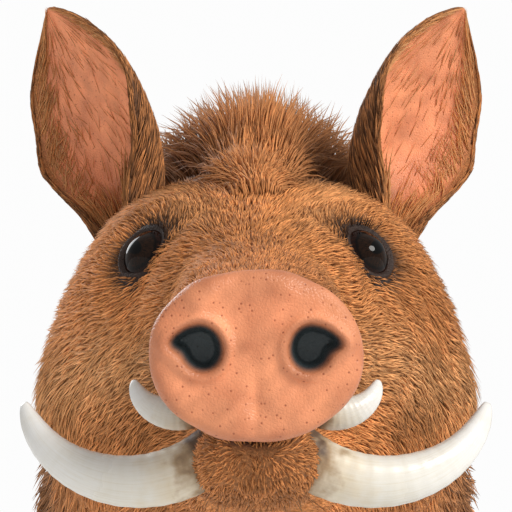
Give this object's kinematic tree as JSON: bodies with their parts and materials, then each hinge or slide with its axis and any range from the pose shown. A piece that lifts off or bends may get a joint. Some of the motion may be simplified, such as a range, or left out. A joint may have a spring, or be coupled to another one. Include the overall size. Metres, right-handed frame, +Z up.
{
  "type": "wild boar model",
  "caption": "Life-size adult male wild boar standing square, head raised and facing ahead, with tusks, erect ears and a crest of bristles.",
  "frame": {"origin": "on the floor under the middle of the boar's outline", "axes": "+Z up; the boar faces -Y, and its left side is at +X"},
  "size_m": [0.377, 1.4434, 0.9194],
  "materials": {
    "coat": "brown fur, matte",
    "bristle": "dark coarse bristles, matte",
    "snout_skin": "moist pink skin, satin",
    "ivory": "polished ivory",
    "horn": "dark hoof horn, satin",
    "eye": "wet, near black"
  },
  "bodies": {
    "root": {"ear_left": "coat", "ear_right": "coat", "eye_left": "eye", "eye_right": "eye", "fore_left_inner_dewclaw": "horn", "fore_left_inner_hoof": "horn", "fore_left_lower_leg": "coat", "fore_left_outer_dewclaw": "horn", "fore_left_outer_hoof": "horn", "fore_left_upper_leg": "coat", "fore_right_inner_dewclaw": "horn", "fore_right_inner_hoof": "horn", "fore_right_lower_leg": "coat", "fore_right_outer_dewclaw": "horn", "fore_right_outer_hoof": "horn", "fore_right_upper_leg": "coat", "head": "coat", "hind_left_inner_dewclaw": "horn", "hind_left_inner_hoof": "horn", "hind_left_lower_leg": "coat", "hind_left_outer_dewclaw": "horn", "hind_left_outer_hoof": "horn", "hind_left_upper_leg": "coat", "hind_right_inner_dewclaw": "horn", "hind_right_inner_hoof": "horn", "hind_right_lower_leg": "coat", "hind_right_outer_dewclaw": "horn", "hind_right_outer_hoof": "horn", "hind_right_upper_leg": "coat", "lower_jaw": "coat", "lower_tusk_left": "ivory", "lower_tusk_right": "ivory", "mane": "bristle", "neck": "coat", "rump": "coat", "snout_disc": "snout_skin", "tail_dock": "coat", "tail_tuft": "bristle", "trunk": "coat", "upper_tusk_left": "ivory", "upper_tusk_right": "ivory"}
  },
  "joints": []
}
